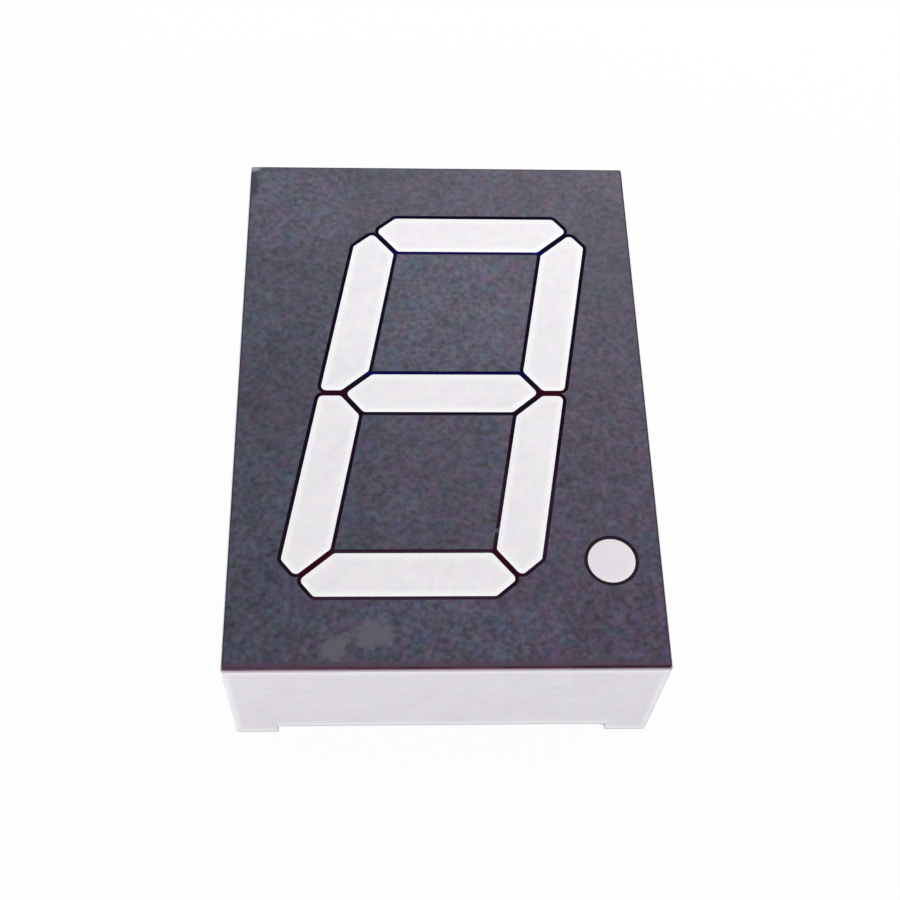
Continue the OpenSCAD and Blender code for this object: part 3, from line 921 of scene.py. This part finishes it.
face_print, tree, shader, place = new_material("face_print", IOR=1.52)
across = remap(tree, split(tree, place)["X"], -case_high[0], case_high[0])
base = add_marks(tree, place, blend(tree, across, INK_LEFT, INK_RIGHT), UNEVEN)
ink = mottled(tree, place, base, cloud=(400, 0.9), speck=(2600, 3.2), hue_strength=1.5, hue_scale=1100)
along_foot = near_edge(tree, place, begin=0.7 * MM, full=0.3 * MM)["Foot"]
colour = cover(tree, along_foot, FOOT_TINGE, strength=0.8, over=ink["Colour"])
colour = add_marks(tree, place, colour, WEAR + BLED + CHIP)
dry = use_group(tree, grain, {"Place": place, "Scale": 9000.0, "Pits": 0.5})
feed(tree, shader, colour, rough(tree, dry["Mask"], 0.5, 0.64), dry["Height"], depth=0.004 * MM)
print("face ink:", len(tree.nodes), "nodes")

# %% [markdown]
# ## Mask ink
# Under the grey lies a near-black mask that stops stray light. It shows as a line around
# each window, bluish at the top and reddish at the foot, with single lines bluer, paler or
# redder than the rest. It is rubbed grey at the edge of the face, spotted along the foot and
# thin around the point. The same rows of marks tint it, and it hardly reflects, so a long
# slanting view doesn't turn it grey.

# %% Mask ink
MASK_TOP = paint(5, 3, 35)
MASK_FOOT = paint(36, 16, 31)
FOOT_LEFT = paint(98, 72, 90)
FOOT_RIGHT = paint(74, 46, 62)
RUBBED_RIM = paint(66, 64, 76)
BLUISH = paint(6, 6, 74)
PALER = paint(62, 38, 56)
REDDISH = paint(50, 6, 26)
RING_AT = ((POINT_SPOT[0] - face_left) / MM, (face_top - POINT_SPOT[1]) / MM)
POINT_RING = (RING_AT, (2, 2), 0.0, 0.0, 0.85, paint(46, 41, 50))
TINTS = [
    ((16.2, 8.1), (7.6, 0.4), 0.0, 0.0, 1.0, BLUISH),
    ((14.4, 18.6), (7.6, 0.4), 0.0, 0.0, 1.0, BLUISH),
    ((12.0, 32.3), (7.0, 0.4), 0.0, 0.0, 0.7, PALER),
    ((11.45, 35.55), (7.0, 0.5), 0.0, 0.0, 0.8, PALER),
    ((19.6, 29.5), (3.4, 4.6), -0.17, 0.0, 0.35, PALER),
    ((18.1, 33.3), (1.7, 0.45), -0.93, 0.0, 1.0, REDDISH),
    ((5.65, 33.35), (1.7, 0.45), 0.78, 0.0, 1.0, REDDISH),
    ((21.0, 20.2), (2.4, 0.45), 0.0, 0.0, 0.9, REDDISH),
    ((7.2, 20.2), (2.4, 0.45), 0.0, 0.0, 0.6, REDDISH),
]

mask_print, tree, shader, place = new_material("mask_print", IOR=1.45, Specular_IOR_Level=0.03)
axes = split(tree, place)
along = remap(tree, axes["Y"], case_high[1], -case_high[1])
across = remap(tree, axes["X"], -case_high[0], case_high[0])
black = blend(tree, along, MASK_TOP, MASK_FOOT)
black = mottled(tree, place, black, cloud=(500, 0.6), speck=(2500, 0.4), hue_strength=0.6)
wear_and_highlight = near_edge(tree, place, begin=0.4 * MM, full=0.3 * MM)
colour = add_marks(tree, place, black["Colour"], TINTS)
colour = blend(tree, wear_and_highlight["Rim"], colour, RUBBED_RIM)
foot = blend(tree, across, FOOT_LEFT, FOOT_RIGHT)
foot = mottled(tree, place, foot, cloud=(250, 1.6), speck=(2500, 1.0), hue_strength=0.5)
colour = blend(tree, wear_and_highlight["Foot"], colour, foot["Colour"])
colour = add_marks(tree, place, colour, CHIP + [POINT_RING, BARE_CORNER])
dry = use_group(tree, grain, {"Place": place, "Scale": 9000.0, "Pits": 0.4})
feed(tree, shader, colour, rough(tree, dry["Mask"], 0.7, 0.85), dry["Height"], depth=0.003 * MM)
print("mask ink:", len(tree.nodes), "nodes")

# %% [markdown]
# ## Metals
# The pins are drawn wire, dipped in tin that freezes with a faint cloudy pattern and still
# shows the fine lines of the drawing. Solder is duller and lumpier, and the bond wires are
# plain gold. The lines could be modelled, but they are thousandths of a millimetre deep, so
# noise stretched along the pin by a Mapping node gives them as a bump.

# %% Tin on the pins
STRETCH = (1, 1, 0.06)

tinned_pin, tree, shader, place = new_material("tinned_pin", Metallic=1.0)
tin = mottled(tree, place, paint(200, 201, 204), cloud=(900, 0.25), speck=(6000, 0.12), hue_strength=0.02)
drawn = add(tree, "Mapping", {"Vector": place, "Scale": STRETCH}).outputs[0]
lines = noise(tree, drawn, 14000.0, 2.0)["Fac"]
feed(tree, shader, tin["Colour"], rough(tree, tin["Cloud"], 0.22, 0.42), lines, depth=0.004 * MM)
print("tin:", len(tree.nodes), "nodes")

# %% Solder and gold
solder, tree, shader, place = new_material("solder", Metallic=1.0)
dull = mottled(tree, place, paint(186, 188, 192), cloud=(1400, 0.3), speck=(7000, 0.2), hue_strength=0.02)
lumps = use_group(tree, grain, {"Place": place, "Scale": 3000.0, "Pits": 0.3})
feed(tree, shader, dull["Colour"], rough(tree, dull["Cloud"], 0.28, 0.5), lumps["Height"], depth=0.01 * MM)

gold_wire, tree, shader, place = new_material("gold_wire", Metallic=1.0)
gold = mottled(tree, place, paint(233, 190, 92), cloud=(3000, 0.1), speck=(20000, 0.1), hue_strength=0.03)
feed(tree, shader, gold["Colour"], rough(tree, gold["Cloud"], 0.18, 0.3))
print("metals:", tinned_pin.name, solder.name, gold_wire.name)

# %% [markdown]
# ## Board, dies and back epoxy
# The board is glass cloth in green resin, so its face shows a weave: two sets of threads at
# right angles, each a sine across the plan, which gives them a real pitch. A die is a tiny
# crystal with a bright metal pad. The back epoxy is a milky resin that cures glossy, with a
# few small bubbles, which are the centres of Voronoi cells.

# %% Board laminate
THREAD_PITCH = 0.55 * MM
THREAD_GREEN = paint(118, 152, 92)

board_laminate, tree, shader, place = new_material("board_laminate", IOR=1.55)
axes = split(tree, place)
warp = calc(tree, "SINE", calc(tree, "MULTIPLY", axes["X"], 2 * math.pi / THREAD_PITCH))
weft = calc(tree, "SINE", calc(tree, "MULTIPLY", axes["Y"], 2 * math.pi / THREAD_PITCH))
weave = calc(tree, "MULTIPLY", warp, weft)
green = mottled(tree, place, paint(70, 112, 63), cloud=(150, 0.2), speck=(3000, 0.15), hue_strength=0.06)
colour = blend(tree, remap(tree, weave, -1, 1, to_high=0.35), green["Colour"], THREAD_GREEN)
feed(tree, shader, colour, remap(tree, weave, -1, 1, 0.3, 0.42), weave, depth=0.006 * MM)
print("weave pitch %.2f mm" % (THREAD_PITCH / MM))

# %% LED die
PAD_DEPTH = 0.02 * MM
PAD_METAL = paint(214, 186, 120)

led_die, tree, shader, place = new_material("led_die", IOR=2.4)
die_top = corners("chip_a1")[1][2]
pad = remap(tree, split(tree, place)["Z"], die_top - PAD_DEPTH, die_top)
crystal = mottled(tree, place, paint(139, 143, 99), cloud=(4000, 0.25), speck=(20000, 0.15), hue_strength=0.1)
colour = cover(tree, pad, PAD_METAL, strength=0.6, over=crystal["Colour"])
feed(tree, shader, colour, rough(tree, crystal["Cloud"], 0.2, 0.35))
print("die pads at %.2f mm" % (die_top / MM))

# %% Back epoxy
BUBBLE_OUTER, BUBBLE_INNER = 0.09, 0.06
BUBBLE_GREY = paint(186, 181, 172)

back_epoxy, tree, shader, place = new_material("back_epoxy", IOR=1.53)
milk = mottled(tree, place, paint(217, 213, 206), cloud=(160, 0.12), speck=(1200, 0.04), hue_strength=0.03)
cells = add(tree, "TexVoronoi", {"Vector": place, "Scale": 420.0}).outputs["Distance"]
bubble = remap(tree, cells, BUBBLE_OUTER, BUBBLE_INNER)
colour = cover(tree, bubble, BUBBLE_GREY, strength=0.5, over=milk["Colour"])
feed(tree, shader, colour, rough(tree, milk["Cloud"], 0.14, 0.26), bubble, depth=-0.02 * MM)
print("materials:", len([m for m in bpy.data.materials if m.use_nodes]))

# %% [markdown]
# ## Dressing the pieces
# Pieces made here take their material directly and ride on the part's one body. The nodes
# that keep their CAD shape, such as the prints, the board and the dies, only have their
# material changed.

# %% Give every piece its finish and its place on the body
CARRIED = {
    "face_mask": mask_print, "face_sheet": face_print, "upper_counter": face_print,
    "lower_counter": face_print, "circuit_board": board_laminate, "solder_joints": solder,
}
CARRIED.update({name: led_die for name in CAD if name.startswith("chip_")})
CARRIED.update({name: gold_wire for name in CAD if name.startswith("wire_")})
for name, material in CARRIED.items():
    CAD[name].data.materials.clear()
    CAD[name].data.materials.append(material)

made = [(lights, light_epoxy), ([case], case_plastic), (pins, tinned_pin), ([back], back_epoxy)]
for pieces, material in made:
    for piece in pieces:
        piece.data.materials.append(material)
        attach(piece, "root")
print("carried nodes dressed:", len(CARRIED), "- new pieces:", len(lights) + len(pins) + 2)

# %% [markdown]
# ## Floor and world
# The display stands on a pale floor under soft studio light. The white surround comes from
# the Light Path node: the world is plain white to the camera alone, and the floor nearly so to
# the camera and to rays by way of gloss or glass. The light that falls on the object keeps its
# own, lower level, as more light would bleach the case. The floor's small share of its lit
# colour carries the object's shadow.

# %% Floor
FLOOR_HALF = 3.0
FLOOR_WHITE = paint(246, 246, 247)
GLOW_SHARE = 0.95
PURE_WHITE = (1, 1, 1, 1)


def seen_white(tree):
    """1 for rays that show the surroundings: from the camera, a glossy bounce or glass."""
    path = add(tree, "LightPath").outputs
    bounced = calc(tree, "MAXIMUM", path["Is Glossy Ray"], path["Is Transmission Ray"])
    return calc(tree, "MAXIMUM", path["Is Camera Ray"], bounced)


floor_mesh = bpy.data.meshes.new("floor")
floor_corners = FLOOR_HALF * np.array([(-1, -1, 0), (1, -1, 0), (1, 1, 0), (-1, 1, 0)])
floor_mesh.from_pydata(floor_corners.tolist(), [], [(0, 1, 2, 3)])
floor = bpy.data.objects.new("floor", floor_mesh)
bpy.context.scene.collection.objects.link(floor)
floor_white = bpy.data.materials.new("floor_white")
floor_white.use_nodes = True
tree = floor_white.node_tree
tree.nodes.clear()
lit = add(tree, "BsdfDiffuse", {"Color": FLOOR_WHITE}).outputs[0]
glow = add(tree, "Emission", {"Color": PURE_WHITE, "Strength": 1.0}).outputs[0]
share = calc(tree, "MULTIPLY", seen_white(tree), GLOW_SHARE)
mixed = add(tree, "MixShader", {0: share, 1: lit, 2: glow}).outputs[0]
tree.links.new(mixed, add(tree, "OutputMaterial").inputs["Surface"])
floor_mesh.materials.append(floor_white)
print("floor %.0f m wide" % (2 * FLOOR_HALF))

# %% World
WORLD_WHITE = paint(236, 236, 240)
WORLD_LEVEL = 0.4

world = bpy.data.worlds.new("studio")
bpy.context.scene.world = world
world.use_nodes = True
tree = world.node_tree
tree.nodes.clear()
soft = add(tree, "Background", {"Color": WORLD_WHITE, "Strength": WORLD_LEVEL}).outputs[0]
white = add(tree, "Background", {"Color": PURE_WHITE, "Strength": 1.0}).outputs[0]
camera_ray = add(tree, "LightPath").outputs["Is Camera Ray"]
mixed = add(tree, "MixShader", {0: camera_ray, 1: soft, 2: white}).outputs[0]
tree.links.new(mixed, add(tree, "OutputWorld").inputs["Surface"])
print("world at %.0f%%" % (100 * WORLD_LEVEL))

# %% [markdown]
# ## Lamps
# Two soft lamps behind the top of the display, one high and one low, light it from the far
# side, so the face darkens gently towards its foot. A wider one in front keeps the near wall
# bright, and a small one low on the left picks out the upright corner on that side. Area
# lamps are used, because a point lamp would leave small hard highlights on the gloss.

# %% Lamps
def soft_lamp(name, position, size, power):
    """A square area lamp of a size in metres and a power in watts, turned to the middle of the face."""
    data = bpy.data.lights.new(name, "AREA")
    data.size = size
    data.energy = power
    lamp = bpy.data.objects.new(name, data)
    bpy.context.scene.collection.objects.link(lamp)
    away = FACE_MIDDLE - Vector(position)
    lamp.matrix_world = Matrix.Translation(position) @ away.to_track_quat("-Z", "Y").to_matrix().to_4x4()


soft_lamp("key", (0.045, 0.125, 0.165), size=0.10, power=0.084)
soft_lamp("back", (0.03, 0.18, 0.10), size=0.12, power=0.208)
soft_lamp("fill", (-0.045, -0.26, 0.16), size=0.22, power=0.448)
soft_lamp("side", (-0.24, -0.01, 0.03), size=0.08, power=0.14)
bpy.context.scene.view_settings.view_transform = "Standard"
